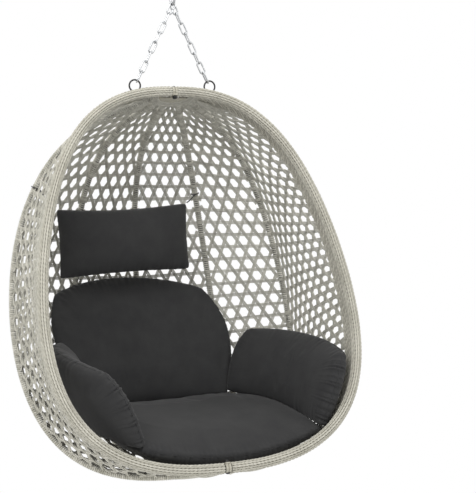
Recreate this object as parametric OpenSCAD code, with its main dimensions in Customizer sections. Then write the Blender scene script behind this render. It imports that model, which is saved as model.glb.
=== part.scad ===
// Hanging egg chair: a woven basket on a steel frame, hung by two chains from a spring.
// +Z is up and the chair faces -Y. The origin is where the top quick link hangs.

/* [Basket frame] */
// Height of the basket between its poles, along its leaning axis
basket_h = 1150; // [1100:10:1200]
// Lean of the basket axis back from the vertical, in degrees
lean = 22; // [18:1:26]
// Half width of the front ring before its egg shape
ring_reach = 500; // [480:5:520]
// Reach of the centre rib behind the axis
spine_reach = 590; // [570:5:610]
// Reach of the two inner ribs
inner_reach = 575; // [560:5:590]
// Reach of the two outer ribs
outer_reach = 650; // [630:5:665]
// Angle of the inner ribs from straight back
inner_turn = 24.5; // [22:0.5:27]
// Angle of the outer ribs from straight back
outer_turn = 47.5; // [45:0.5:50]
// How much wider the ring is near its low end
egg = 0.15; // [0.1:0.01:0.18]
// How full the ends of the ring are
fullness = 0.06; // [0.03:0.01:0.08]
// Radius of the front ring tube
ring_r = 11; // [10:0.5:12]
// Wall of the front ring tube
ring_wall = 1.5; // [1:0.25:2.5]
// Radius of the rib rods
rib_r = 8; // [7:0.5:9]

/* [Weave] */
// Thickness of the rattan wrap around a rib
wrap_t = 2.7; // [2:0.1:3.5]
// Thickness of the woven panels
panel_t = 6; // [4:0.5:8]
// Inward sag of the back and middle panels between their ribs
back_sag = 8; // [4:1:8]
// Inward sag of the side panels
side_sag = 18; // [10:1:22]
// Depth of the twined band behind the front ring
band_depth = 65; // [50:1:75]
// Half thickness of the twined band
band_half = 4.5; // [3.5:0.5:6]
// Radius of the twined bulb around the front ring
bulb_r = 15.5; // [15:0.5:18]
// Distance from a pole at which the weave starts
weave_start = 80; // [78:1:95]

/* [Pole joints] */
// Length of the collar between the two ring halves
collar_len = 16; // [12:1:22]
// Radius of the collar
collar_r = 15; // [14:0.5:16]
// Length of each spigot inside the ring tube
spigot_len = 34; // [20:1:40]
// Radius of the rib plate
plate_r = 72; // [60:1:74]
// Thickness of the rib plate
plate_t = 4; // [3:0.5:5]
// Radius of the pole bolt
bolt_r = 4; // [3:0.5:4.5]

/* [Suspension] */
// Wire thickness of a quick link
quick_wire = 8; // [7:0.5:9]
// Outer length of a quick link
quick_len = 92; // [86:1:100]
// Outer width of a quick link
quick_w = 42; // [40:1:46]
// Gap in the side of a quick link
quick_gap = 12; // [10:1:13]
// Length of the sleeve nut
sleeve_len = 20; // [18:1:20]
// Width of the sleeve nut across its flats
sleeve_af = 14; // [13:0.5:15]
// Wire thickness of the spring
spring_wire = 8; // [7:0.5:8]
// Mean radius of the spring coil
coil_r = 20; // [18:0.5:22]
// Whole turns of the spring coil
coil_turns = 5; // [4:1:7]
// Pitch of the spring coil at rest
coil_pitch = 8.5; // [8.5:0.1:10]
// Rise of the top hairpin hook above the coil
hook_rise = 61; // [56:1:70]
// Half width of the top hairpin hook
hairpin_half = 9; // [9:0.25:11]
// Depth of the lower hook below the coil
hook_drop = 54; // [50:1:64]
// Height of the lower hook's tip above its lowest point
tip_rise = 38; // [32:1:42]
// Wire thickness of the chain
chain_wire = 5; // [4:0.5:5]
// Inner length of a chain link
link_inner = 33; // [30:1:38]
// Outer width of a chain link
link_w = 20; // [19:0.5:23]
// Chain links on each side
link_count = 8; // [6:2:12]
// Play between two links that hang in each other
link_play = 0.2; // [0.1:0.05:0.4]
// Distance of each chain eye from the middle
eye_x = 121.5; // [100:0.5:140]
// Distance of the eyes behind the ring tube
eye_back = 16; // [14:0.5:20]
// Height of the eyes over the ring tube
eye_up = 26.3; // [24:0.1:30]
// Centre-line radius of an eye
eye_r = 17.5; // [17:0.5:20]
// Wire thickness of an eye
eye_wire = 5; // [4:0.5:6]

/* [Cushions] */
// Turn of the cushion set in the basket, in degrees
set_turn = 4; // [0:1:6]
// Sideways drift of the cushion set from back to front, as a share of the way
set_drift = 0.1; // [0:0.02:0.12]
// Half width of the seat cushion
seat_half = 308; // [290:2:315]
// Half depth of the seat cushion
seat_depth = 262; // [245:2:270]
// Crown of the seat above its seam
seat_crown = 46; // [30:1:52]
// Depth of the seat below its seam
seat_under = 62; // [45:1:70]
// Half width of the back cushion
back_half = 322; // [290:4:326]
// Height of the back cushion
back_h = 382; // [354:4:394]
// Half thickness of the back cushion
back_half_t = 56; // [45:1:60]
// Height of an arm cushion
arm_h = 229; // [205:4:233]
// Half thickness of an arm cushion
arm_half_t = 46; // [35:1:50]
// Width of the head pillow
pillow_w = 452; // [400:4:470]
// Height of the head pillow
pillow_h = 212; // [190:2:225]
// Half thickness of the head pillow
pillow_half_t = 50; // [35:1:55]
// Radius of the pillow cords
cord_r = 2; // [1.5:0.25:2.5]

/* [Hidden] */
$fn = 32;

// Clearances
gap = 0.3;
hook_play = 0.4;
bore_play = 0.05;
bolt_play = 0.2;
slit_w = 1.6;

// Counts
weave_steps = 22;
rod_sides = 8;
tube_sides = 10;
back_strips = 2;
side_strips = 4;
steps_per_turn = 8;

// Colours
rattan = [0.74, 0.72, 0.66];
rattan_dark = [0.62, 0.60, 0.54];
steel_paint = [0.12, 0.12, 0.12];
zinc = [0.78, 0.79, 0.80];
charcoal = [0.22, 0.22, 0.23];

// Suspension heights, from the origin down
quick_r = quick_wire / 2;
quick_mid = (quick_w - quick_wire) / 2;
quick_span = quick_len - quick_wire;
spring_r = spring_wire / 2;
hook_top_z = quick_r - quick_span + quick_r + spring_r + hook_play;
coil_top_z = hook_top_z - hook_rise;
coil_start = 100;
coil_end = 30;
coil_h = coil_pitch * (coil_turns + (coil_start - coil_end) / 360);
coil_low_z = coil_top_z - coil_h;
hook_low_z = coil_low_z - hook_drop;
lower_top_z = hook_low_z + spring_r + quick_r + hook_play;
apex_z = lower_top_z - quick_span;

// Chain legs
chain_r = chain_wire / 2;
link_mid = (link_w - chain_wire) / 2;
link_half = (link_inner + chain_wire) / 2;
link_pitch = link_inner - link_play;
leg_y = chain_r + link_play;
link_seat = quick_mid - sqrt(pow(quick_mid - quick_r - chain_r - link_play, 2) - leg_y * leg_y);
first_link = link_half - link_seat;
eye_contact = first_link + (link_count - 1) * link_pitch + link_half - chain_wire - link_play;
leg_turn = asin(eye_x / (eye_contact + eye_r));
eye_z = apex_z - (eye_contact + eye_r) * cos(leg_turn);

// Basket frame directions and poles
axis_dir = [0, sin(lean), cos(lean)];
turns = [-90, -outer_turn, -inner_turn, 0, inner_turn, outer_turn, 90];
reaches = [ring_reach, outer_reach, inner_reach, spine_reach, inner_reach, outer_reach, ring_reach];
eye_drop = basket_h / 2 * (1 + cos(high_angle(6, eye_x)));
top_pole = [0, -eye_back, eye_z - eye_up] + eye_drop * axis_dir;
low_pole = top_pole - basket_h * axis_dir;
wrap_r = rib_r + gap + wrap_t;

// Vector helpers
function unit(v) = v / norm(v);
function mix(a, b, t) = a + (b - a) * t;

// The basket surface: curve k is a half ring or a rib, t runs from 0 at the low pole to 180
function out_dir(k) = [sin(turns[k]), cos(turns[k]) * cos(lean), -cos(turns[k]) * sin(lean)];
function blunt(k) = 0.8 - 0.2 * cos(turns[k]);
function egg_of(k) = egg * (1 - cos(turns[k]));
function full_of(k) = fullness * (1 - cos(turns[k]));
function reach(k, t) = reaches[k] * pow(sin(t), blunt(k))
    * (1 + egg_of(k) * cos(t) + full_of(k) * cos(2 * t));
function on_curve(k, t) = low_pole + basket_h / 2 * (1 - cos(t)) * axis_dir + reach(k, t) * out_dir(k);

// Angle at which curve k is r away from the axis, near its low and its high pole
function low_angle(k, r) =
    asin(pow(r / (reaches[k] * (1 + egg_of(k) + full_of(k))), 1 / blunt(k)));
function high_angle(k, r) =
    180 - asin(pow(r / (reaches[k] * (1 - egg_of(k) + full_of(k))), 1 / blunt(k)));

// Even steps along a curve between the two weave starts
function even(u) = u < 0.5 ? pow(2 * u, 1.5) / 2 : 1 - pow(2 - 2 * u, 1.5) / 2;
function weave_angles(k) = [for (i = [0 : weave_steps])
    mix(low_angle(k, weave_start), high_angle(k, weave_start), even(i / weave_steps))];
function rod_angles(k) = concat([low_angle(k, rib_start)], weave_angles(k), [high_angle(k, rib_start)]);
rib_start = 42;
half_start = collar_len / 2 + gap;
function ring_angles(k) = concat(
    [low_angle(k, half_start), low_angle(k, 45)], weave_angles(k),
    [high_angle(k, 45), high_angle(k, half_start)]);

// Points, tangents and outward normals along a list of angles
function path(k, angles) = [for (t = angles) on_curve(k, t)];
function tangents(p) = [for (i = [0 : len(p) - 1])
    unit(p[min(i + 1, len(p) - 1)] - p[max(i - 1, 0)])];
function side_dir(k) = unit(cross(axis_dir, out_dir(k)));
function outward(k, tangent) = unit(cross(side_dir(k), tangent));

// Rings of points around a planar curve, for tubes and sleeves
function curve_rings(k, angles, r, sides) =
    let (p = path(k, angles), tg = tangents(p))
    [for (i = [0 : len(p) - 1]) [for (s = [0 : sides - 1])
        p[i] + r * (cos(360 * s / sides) * outward(k, tg[i]) + sin(360 * s / sides) * side_dir(k))]];

// A closed skin over a list of rings of equal count
function ring_faces(rings, n, at, flip) = [
    for (i = [0 : rings - 2]) for (s = [0 : n - 1]) let (
        a = at + i * n + s, b = at + i * n + (s + 1) % n, c = b + n, d = a + n)
        each flip ? [[a, c, d], [a, b, c]] : [[a, d, c], [a, c, b]]];
module skin(rings) {
    n = len(rings[0]);
    last = (len(rings) - 1) * n;
    ends = [for (s = [1 : n - 2]) each [[0, s, s + 1], [last, last + s + 1, last + s]]];
    polyhedron(points = [for (r = rings) each r],
               faces = concat(ring_faces(len(rings), n, 0, false), ends));
}

// A closed sleeve between an outer and an inner list of rings
module sleeve(outer, inner) {
    n = len(outer[0]);
    m = len(outer);
    at = m * n;
    last = (m - 1) * n;
    ends = [for (s = [0 : n - 1]) let (e = (s + 1) % n) each [
        [s, e, at + e], [s, at + e, at + s],
        [last + s, at + last + e, last + e], [last + s, at + last + s, at + last + e]]];
    polyhedron(points = concat([for (r = outer) each r], [for (r = inner) each r]),
               faces = concat(ring_faces(m, n, 0, false), ring_faces(m, n, at, true), ends));
}

// A closed pad between two grids of rows, front facing outwards on its own side
function grid_faces(rows, n, at, flip) = [
    for (i = [0 : rows - 2]) for (s = [0 : n - 2]) let (
        a = at + i * n + s, b = a + 1, c = b + n, d = a + n)
        each flip ? [[a, c, d], [a, b, c]] : [[a, d, c], [a, c, b]]];
module pad(front, back) {
    n = len(front[0]);
    m = len(front);
    at = m * n;
    rim = concat([for (s = [0 : n - 2]) s], [for (i = [0 : m - 2]) i * n + n - 1],
                 [for (s = [n - 1 : -1 : 1]) (m - 1) * n + s], [for (i = [m - 1 : -1 : 1]) i * n]);
    edges = [for (i = [0 : len(rim) - 1]) let (a = rim[i], b = rim[(i + 1) % len(rim)])
        each [[a, b, at + b], [a, at + b, at + a]]];
    polyhedron(points = concat([for (r = front) each r], [for (r = back) each r]),
               faces = concat(grid_faces(m, n, 0, false), grid_faces(m, n, at, true), edges));
}

// Local frame at a pole, with Z pointing out of the basket at the top and into it at the bottom
module at_pole(top) {
    translate(top ? top_pole : low_pole)
        rotate([-lean, 0, 0])
            if (top) mirror([0, 0, 1]) children();
            else children();
}

// Quick link in the YZ plane, hung with its top arc at the height given
module quick_link(top_z) {
    straight = quick_span / 2 - quick_mid;
    nut_low = -sleeve_len;
    slot_low = (nut_low - quick_gap) / 2;
    color(zinc)
        translate([0, 0, top_z - quick_span / 2])
            rotate([0, 0, 90]) {
                for (a = [0, 180])
                    rotate([0, a, 0])
                        translate([0, 0, straight])
                            rotate([90, 0, 0])
                                rotate_extrude(angle = 180) translate([quick_mid, 0]) circle(r = quick_r);
                translate([quick_mid, 0, -straight]) cylinder(h = 2 * straight, r = quick_r);
                translate([-quick_mid, 0, -straight]) cylinder(h = straight + slot_low, r = quick_r);
                translate([-quick_mid, 0, slot_low + quick_gap])
                    cylinder(h = straight - slot_low - quick_gap, r = quick_r);
            }
}
module sleeve_nut(top_z) {
    color(zinc)
        translate([0, -quick_mid, top_z - quick_span / 2 - sleeve_len])
            difference() {
                cylinder(h = sleeve_len, r = sleeve_af / sqrt(3), $fn = 6);
                translate([0, 0, -1]) cylinder(h = sleeve_len + 2, r = quick_r + bore_play);
            }
}
module top_quick_link() quick_link(quick_r);
module top_link_nut() sleeve_nut(quick_r);
module lower_quick_link() quick_link(lower_top_z);
module lower_link_nut() sleeve_nut(lower_top_z);

// Spring: a hairpin hook, a close coil and a round lower hook in one wire
hairpin_z = hook_top_z - hairpin_half;
low_arc_z = hook_low_z + coil_r;
hairpin_route = concat(
    [[26, 0, hairpin_z - 47], [19, 0, hairpin_z - 42], [13, 0, hairpin_z - 35], [9.8, 0, hairpin_z - 26]],
    [for (a = [0 : 30 : 180]) [hairpin_half * cos(a), 0, hairpin_z + hairpin_half * sin(a)]],
    [[-hairpin_half, 0, coil_top_z + 26], [-hairpin_half, 0, coil_top_z + 16],
     [-hairpin_half, 2.5, coil_top_z + 8.5], [-9, 8, coil_top_z + 3.5], [-7, 14, coil_top_z + 1]]);
coil_route = [for (i = [0 : floor((coil_h / coil_pitch) * steps_per_turn)])
    let (a = coil_start - 360 * i / steps_per_turn)
    [coil_r * cos(a), coil_r * sin(a), coil_top_z - coil_pitch * i / steps_per_turn]];
low_hook_route = concat(
    [[coil_r - 1, 4.5, coil_low_z - 3.5], [coil_r, 1.2, coil_low_z - 9.5], [coil_r, 0, coil_low_z - 18]],
    [for (a = [0 : -22.5 : -180]) [coil_r * cos(a), 0, low_arc_z + coil_r * sin(a)]],
    [[-coil_r, 0, hook_low_z + tip_rise - spring_r]]);
spring_route = concat(hairpin_route, coil_route, low_hook_route);

// Ring directions carried along a route without twist
function carried(v, tangent) = unit(v - (v * tangent) * tangent);
function carry(tg, first) = [for (i = 0, v = carried(first, tg[0]); i < len(tg);
    i = i + 1, v = i < len(tg) ? carried(v, tg[i]) : v) v];
function tube_rings(p, r, sides, first) =
    let (tg = tangents(p), ns = carry(tg, first))
    [for (i = [0 : len(p) - 1]) let (b = cross(tg[i], ns[i])) [for (s = [0 : sides - 1])
        p[i] + r * (cos(360 * s / sides) * ns[i] + sin(360 * s / sides) * b)]];

// Least gap of the spring wire to itself, measured between points along the route
near = steps_per_turn / 2;
spring_gaps = [for (i = [0 : len(spring_route) - 1]) for (j = [i + near : 1 : len(spring_route) - 1])
    norm(spring_route[i] - spring_route[j]) - spring_wire];
echo(spring_least_gap = min(spring_gaps));
module spring() {
    color(zinc) skin(tube_rings(spring_route, spring_r, 6, [0, 1, 0]));
}

// Chain link along Z, broad side in the XZ plane
module link() {
    straight = link_half - link_mid;
    color(zinc) {
        for (a = [0, 180])
            rotate([0, a, 0])
                translate([0, 0, straight])
                    rotate([90, 0, 0])
                        rotate_extrude(angle = 180) translate([link_mid, 0]) circle(r = chain_r);
        for (s = [-1, 1])
            translate([s * link_mid, 0, -straight]) cylinder(h = 2 * straight, r = chain_r);
    }
}
module leg_link(side, i) {
    along = first_link + i * link_pitch;
    translate([0, side * leg_y * (1 - i / (link_count - 1)), apex_z])
        rotate([0, -side * leg_turn, 0])
            translate([0, 0, -along])
                rotate([0, 0, i % 2 == 0 ? 0 : 90]) link();
}
module chain_end_links() {
    for (side = [-1, 1]) leg_link(side, 0);
}
module chain_leg(side) {
    for (i = [1 : link_count - 1]) leg_link(side, i);
}

// Chain eye with its weld foot on the ring tube
module eye(side) {
    tube = [side * eye_x, -eye_back, eye_z - eye_up];
    low = [side * eye_x, 0, eye_z - eye_r];
    foot = low - tube;
    reach_up = norm(foot);
    color(steel_paint) {
        translate([side * eye_x, 0, eye_z])
            rotate([90, 0, 0])
                rotate_extrude() translate([eye_r, 0]) circle(r = eye_wire / 2);
        translate(tube)
            rotate([-atan2(foot[1], foot[2]) , 0, 0])
                translate([0, 0, ring_r + gap])
                    cylinder(h = reach_up - ring_r - gap, r = eye_wire / 2 + 1);
    }
}

// Hollow half of the front ring
module half_ring(k) {
    angles = ring_angles(k);
    color(steel_paint)
        sleeve(curve_rings(k, angles, ring_r, tube_sides),
               curve_rings(k, angles, ring_r - ring_wall, tube_sides));
}

// Collar that joins the two ring halves at a pole, with a spigot into each tube
spigot_r = (ring_r - ring_wall) * cos(180 / tube_sides) - 3 * gap;
module collar(top) {
    color(rattan)
        at_pole(top)
            difference() {
                rotate([0, 90, 0]) {
                    cylinder(h = collar_len, r = collar_r, center = true);
                    cylinder(h = collar_len + 2 * spigot_len, r = spigot_r, center = true);
                }
                rotate([0, 90, 0])
                    difference() {
                        cylinder(h = slit_w, r = collar_r + 1, center = true);
                        cylinder(h = slit_w + 2, r = collar_r - 3, center = true);
                    }
                translate([-collar_len, -collar_r, ring_r + gap]) cube([2 * collar_len, 2 * collar_r, 9]);
                translate([-collar_len, -collar_r, -collar_r - 9])
                    cube([2 * collar_len, 2 * collar_r, 11]);
                cylinder(h = 4 * collar_r, r = bolt_r + bolt_play, center = true);
            }
}

// Stepped plate that holds the rib ends at a pole
plate_z = ring_r + 2 * gap;
rib_seat_z = rib_r + 1.6 * gap;
module rib_plate(top) {
    spread = outer_turn + 8;
    color(rattan)
        at_pole(top)
            difference() {
                union() {
                    translate([0, 0, rib_seat_z])
                        linear_extrude(plate_z - rib_seat_z + 1)
                            difference() {
                                fan(plate_r, spread);
                                circle(r = rib_start - 2);
                            }
                    translate([0, 0, plate_z])
                        linear_extrude(plate_t)
                            intersection() {
                                circle(r = rib_start + 6);
                                union() {
                                    translate([-rib_start - 10, bulb_r + 1])
                                        square([2 * rib_start + 20, 2 * rib_start]);
                                    translate([-collar_len / 2 + 0.5, -collar_r + 3])
                                        square([collar_len - 1, 2 * rib_start]);
                                }
                            }
                }
                translate([0, 0, plate_z - 2]) cylinder(h = plate_t + 4, r = bolt_r + bolt_play);
            }
}
module fan(r, spread) {
    polygon(concat([[0, 0]], [for (a = [-spread : spread / 6 : spread]) r * [sin(a), cos(a)]]));
}

// Pole bolts with domed heads outside and nuts inside
head_z = -collar_r + 2 - gap;
nut_z = plate_z + plate_t + gap;
nut_h = 6.5;
nut_af = 13;
module pole_bolts() {
    for (top = [false, true])
        color(steel_paint)
            at_pole(top) {
                translate([0, 0, head_z]) cylinder(h = nut_z + nut_h + 1 - head_z, r = bolt_r);
                translate([0, 0, head_z])
                    rotate([180, 0, 0])
                        intersection() {
                            translate([0, 0, -6]) sphere(r = 10);
                            cylinder(h = 5, r = 8);
                        }
            }
}
module pole_nuts() {
    for (top = [false, true])
        color(steel_paint)
            at_pole(top)
                translate([0, 0, nut_z])
                    difference() {
                        cylinder(h = nut_h, r = nut_af / sqrt(3), $fn = 6);
                        translate([0, 0, -1]) cylinder(h = nut_h + 2, r = bolt_r + bore_play);
                    }
}

// Rib rods and their rattan wraps
module rib(k) {
    color(steel_paint) skin(curve_rings(k, rod_angles(k), rib_r, rod_sides));
}
module rib_wrap(k) {
    color(rattan)
        sleeve(curve_rings(k, weave_angles(k), wrap_r, rod_sides),
               curve_rings(k, weave_angles(k), rib_r + gap, rod_sides));
}

// Twined band: a bulb around the ring tube and a flat tail towards the outer rib
function rib_beside(k) = k == 0 ? 1 : 5;
function tail_len(k, t) =
    max(bulb_r + 3, min(band_depth, reach(k, t) * cos(outer_turn) - 3 * rib_r));
function tail_dir(k, t, tangent) =
    let (v = on_curve(rib_beside(k), t) - on_curve(k, t)) unit(v - (v * tangent) * tangent);
band_turns = concat([12, 28], [for (i = [0 : 7]) 45 + 270 / 7 * i], [332, 348]);
function band_outline(tail) = concat(
    [[tail, band_half], [bulb_r + 2, band_half]],
    [for (i = [2 : 9]) bulb_r * [cos(band_turns[i]), sin(band_turns[i])]],
    [[bulb_r + 2, -band_half], [tail, -band_half]]);
band_bore = (ring_r + gap) / cos(270 / 14);
band_hole = [for (a = band_turns) band_bore * [cos(a), sin(a)]];
function band_rings(k, hole) =
    let (angles = ring_angles(k), p = path(k, angles), tg = tangents(p))
    [for (i = [0 : len(p) - 1]) let (
        d = tail_dir(k, angles[i], tg[i]), m = cross(tg[i], d),
        outline = hole ? band_hole : band_outline(tail_len(k, angles[i])))
        [for (q = outline) p[i] + q[0] * d + q[1] * m]];
module band(k) {
    side = k == 0 ? -1 : 1;
    foot = [0, eye_back, eye_up - eye_r];
    color(rattan)
        difference() {
            sleeve(band_rings(k, false), band_rings(k, true));
            translate([side * eye_x, -eye_back, eye_z - eye_up])
                rotate([-atan2(foot[1], foot[2]), 0, 0])
                    cylinder(h = 40, r = 12);
        }
}

// Woven panels between neighbouring curves, as closed shells
edge_gap = wrap_r + gap;
function rib_edge(k, p, tangent, other) =
    let (v = other - p) p + edge_gap * unit(v - (v * tangent) * tangent);
function ring_edge(k, t, p, tangent) = p + (tail_len(k, t) + gap) * tail_dir(k, t, tangent);
function panel_grid(k, strips, sag, offset) =
    let (ta = weave_angles(k), tb = weave_angles(k + 1),
         pa = path(k, ta), pb = path(k + 1, tb), ga = tangents(pa), gb = tangents(pb))
    [for (i = [0 : weave_steps]) let (
        ea = k == 0 ? ring_edge(0, ta[i], pa[i], ga[i]) : rib_edge(k, pa[i], ga[i], pb[i]),
        eb = k == 5 ? ring_edge(6, tb[i], pb[i], gb[i]) : rib_edge(k + 1, pb[i], gb[i], pa[i]),
        row = unit(eb - ea), up = unit(ga[i] + gb[i]), inward = unit(cross(row, up)))
        [for (j = [0 : strips]) mix(ea, eb, j / strips)
            + (offset + sag * sin(180 * i / weave_steps) * sin(180 * j / strips)) * inward]];
module panel(k) {
    side = k == 0 || k == 5;
    strips = side ? side_strips : back_strips;
    sag = side ? side_sag : back_sag;
    color(rattan_dark)
        difference() {
            pad(panel_grid(k, strips, sag, panel_t / 2), panel_grid(k, strips, sag, -panel_t / 2));
            for (h = hooks)
                if (h[0] == k || h[0] == k + 1)
                    at_hook(h)
                        cylinder(h = hook_w + 1, r = hook_mid + hook_w / 2 + 0.5, center = true);
        }
}

// Cushion forms: a square grid drawn to a rounded outline, with a crown that falls to its rim
function round_uv(u, v, square) =
    [u * sqrt(1 - v * v / 2 * (1 - square)), v * sqrt(1 - u * u / 2 * (1 - square))];
function crown(u, v, power) = pow((1 - pow(abs(u), power)) * (1 - pow(abs(v), power)), 0.5);
function ticks(n) = [for (i = [0 : n]) -1 + 2 * i / n];
function pad_grid(nu, nv, point) = [for (u = ticks(nu)) [for (v = ticks(nv)) point(u, v)]];

// Room that the narrowest of the nearby walls leaves the cushions, to the sides and to the back
side_room = min(ring_reach, outer_reach - 150);
back_room = min(spine_reach, inner_reach + 15);

// Place of the cushion set, turned about a point in the seat
set_mid_y = 300;
function set_place(p) =
    let (y = p[1] - set_mid_y)
    low_pole + [p[0] * cos(set_turn) - y * (sin(set_turn) + set_drift),
                set_mid_y + p[0] * sin(set_turn) + y * cos(set_turn), p[2]];

// Seat cushion: its front is square, and its sides are lifted by the hollow of the basket
seat_mid_y = 292;
seat_rim = 4;
seam_low = 22.7;
seam_back_rise = 45;
seam_side_rise = 50;
seam_run = 540;
function seam_z(y, side) =
    seam_low + seam_back_rise * pow(max(0, y / seam_run), 1.4) + seam_side_rise * side * side;
function seat_point(face) = function (u, v)
    let (q = round_uv(u, v, v < 0 ? 0.75 : 0.2), y = seat_mid_y + seat_depth * q[1],
         rise = face > 0 ? seat_crown : -seat_under)
    set_place([seat_half * q[0] * (1 - 0.12 * max(0, q[1])), y,
               seam_z(y, q[0]) + face * seat_rim + rise * crown(u, v, 2.4)]);
module seat_cushion() {
    color(charcoal) pad(pad_grid(16, 16, seat_point(-1)), pad_grid(16, 16, seat_point(1)));
}

// Back cushion: an arched upright pad whose sides come forward
back_low = 83.86;
back_foot_y = back_room - 20;
back_bow = 120;
back_flat = 0.6;
back_shift = -12;
back_slope = 0.01;
pad_rim = 5;
function back_point(face) = function (u, v)
    let (q = round_uv(u, v, v < 0 ? 0.6 : 0.3), h = back_h * (1 + q[1]) / 2,
         x = back_shift + q[0] * (back_half - 0.13 * (back_h - h)),
         mid = back_foot_y + 0.4 * h - (back_bow - 0.13 * h) * q[0] * q[0],
         full = face > 0 ? 1 : back_flat,
         thick = pad_rim + full * (back_half_t - pad_rim) * crown(u, v, 2.6))
    set_place([x, mid - face * thick, back_low + h - back_slope * x]);
module back_cushion() {
    color(charcoal) pad(pad_grid(14, 12, back_point(-1)), pad_grid(14, 12, back_point(1)));
}

// Arm cushion: bent around the side of the seat, with its outer edge higher than its inner one
arm_from = -34;
arm_to = 54;
arm_lift = 3.92;
arm_low_mid = [side_room - 405, 210];
arm_low_reach = [222, 320];
arm_high_mid = [side_room - 325, back_room - 350];
arm_high_reach = [240, 342];
arm_back_rise = 15;
function arm_point(hand, face) = function (u, v)
    let (q = round_uv(u, v, v < 0 ? 0.8 : 0.5), a = mix(arm_from, arm_to, (1 + q[0]) / 2), k = (1 + q[1]) / 2,
         low_y = arm_low_mid[1] + arm_low_reach[1] * sin(a),
         low = [arm_low_mid[0] + arm_low_reach[0] * cos(a), low_y, seam_z(low_y, 1) + arm_lift],
         high = [arm_high_mid[0] + arm_high_reach[0] * cos(a), arm_high_mid[1] + arm_high_reach[1] * sin(a),
                 seam_z(0, 1) + arm_lift + arm_h + arm_back_rise * sin(a)],
         out = unit([0.95 * cos(a), 0.75 * sin(a), -0.25]),
         thick = pad_rim + (arm_half_t - pad_rim) * crown(u, v, 2.6),
         p = mix(low, high, k) - face * thick * out)
    set_place([hand * p[0], p[1], p[2]]);
module arm_cushion(hand) {
    inner = pad_grid(16, 10, arm_point(hand, 1));
    outer = pad_grid(16, 10, arm_point(hand, -1));
    color(charcoal)
        if (hand > 0) pad(inner, outer);
        else pad(outer, inner);
}

// Head pillow, hung by a cord at each top corner
pillow_mid = [-107, back_room + 10, 605];
pillow_turn = 6;
function pillow_place(x, y, z) = low_pole + pillow_mid
    + [x * cos(pillow_turn) - y * sin(pillow_turn), x * sin(pillow_turn) + y * cos(pillow_turn), z];
function pillow_point(side) = function (u, v)
    let (x = pillow_w / 2 * u * (1 - 0.05 * (1 - v * v)), z = pillow_h / 2 * v * (1 - 0.07 * (1 - u * u)))
    pillow_place(x - 0.05 * z, -side * (3 + (pillow_half_t - 3) * crown(u, v, 2)), z + 0.02 * x);
module pillow() {
    color(charcoal) pad(pad_grid(14, 8, pillow_point(-1)), pad_grid(14, 8, pillow_point(1)));
}

// Pillow cords and the hooks that clip them around two ribs: rib, step along it, pillow corner
hook_w = 3.6;
hook_mid = wrap_r + gap + hook_w / 2;
ferrule_len = 12;
corner_gap = cord_r + 0.3;
function corner(u) =
    pillow_place(u * (pillow_w / 2 + corner_gap) - 0.025 * pillow_h, 0, pillow_h / 2 + 0.01 * u * pillow_w);
hooks = [[1, 15, -1], [4, 15, 1]];
function hook_at(h) = path(h[0], weave_angles(h[0]))[h[1]];
function hook_z(h) = tangents(path(h[0], weave_angles(h[0])))[h[1]];
function hook_x(h) = carried(corner(h[2]) - hook_at(h), hook_z(h));
module at_hook(h) {
    o = hook_at(h);
    z = hook_z(h);
    x = hook_x(h);
    y = cross(z, x);
    multmatrix([[x[0], y[0], z[0], o[0]], [x[1], y[1], z[1], o[1]], [x[2], y[2], z[2], o[2]]])
        children();
}
module pillow_hooks() {
    color(steel_paint)
        for (h = hooks)
            at_hook(h) {
                rotate([0, 0, -110])
                    rotate_extrude(angle = 220) translate([hook_mid, 0]) circle(r = hook_w / 2);
                translate([hook_mid, 0, 0])
                    rotate([0, 90, 0])
                        difference() {
                            cylinder(h = ferrule_len, r = cord_r + gap + 1.2);
                            translate([0, 0, hook_w]) cylinder(h = ferrule_len, r = cord_r + gap);
                        }
            }
}
function cord_route(h) =
    let (a = hook_at(h) + (hook_mid + hook_w + gap) * hook_x(h),
         b = hook_at(h) + (hook_mid + ferrule_len + 2) * hook_x(h), c = corner(h[2]))
    [a, b, mix(b, c, 0.3) - [0, 0, 2], mix(b, c, 0.65) - [0, 0, 2], c];
module pillow_cords() {
    color(steel_paint)
        for (h = hooks) skin(tube_rings(cord_route(h), cord_r, 8, [0, 0, 1]));
}

top_quick_link();
top_link_nut();
spring();
lower_quick_link();
lower_link_nut();
chain_end_links();
chain_leg(-1);  // chain_left
chain_leg(1);  // chain_right
eye(-1);  // eye_left
eye(1);  // eye_right
half_ring(0);  // ring_left
half_ring(6);  // ring_right
collar(true);  // top_collar
collar(false);  // bottom_collar
rib_plate(true);  // top_rib_plate
rib_plate(false);  // bottom_rib_plate
pole_bolts();
pole_nuts();
rib(1);  // rib_left_outer
rib(2);  // rib_left_inner
rib(3);  // rib_spine
rib(4);  // rib_right_inner
rib(5);  // rib_right_outer
rib_wrap(1);  // wrap_left_outer
rib_wrap(2);  // wrap_left_inner
rib_wrap(3);  // wrap_spine
rib_wrap(4);  // wrap_right_inner
rib_wrap(5);  // wrap_right_outer
band(0);  // band_left
band(6);  // band_right
panel(0);  // panel_left_side
panel(1);  // panel_left_mid
panel(2);  // panel_left_back
panel(3);  // panel_right_back
panel(4);  // panel_right_mid
panel(5);  // panel_right_side
seat_cushion();
back_cushion();
arm_cushion(-1);  // arm_cushion_left
arm_cushion(1);  // arm_cushion_right
pillow();
pillow_cords();
pillow_hooks();
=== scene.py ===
import math
import random

import bmesh
import bpy
import numpy as np
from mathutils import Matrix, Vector
from mathutils.bvhtree import BVHTree
from mathutils.kdtree import KDTree


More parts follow.
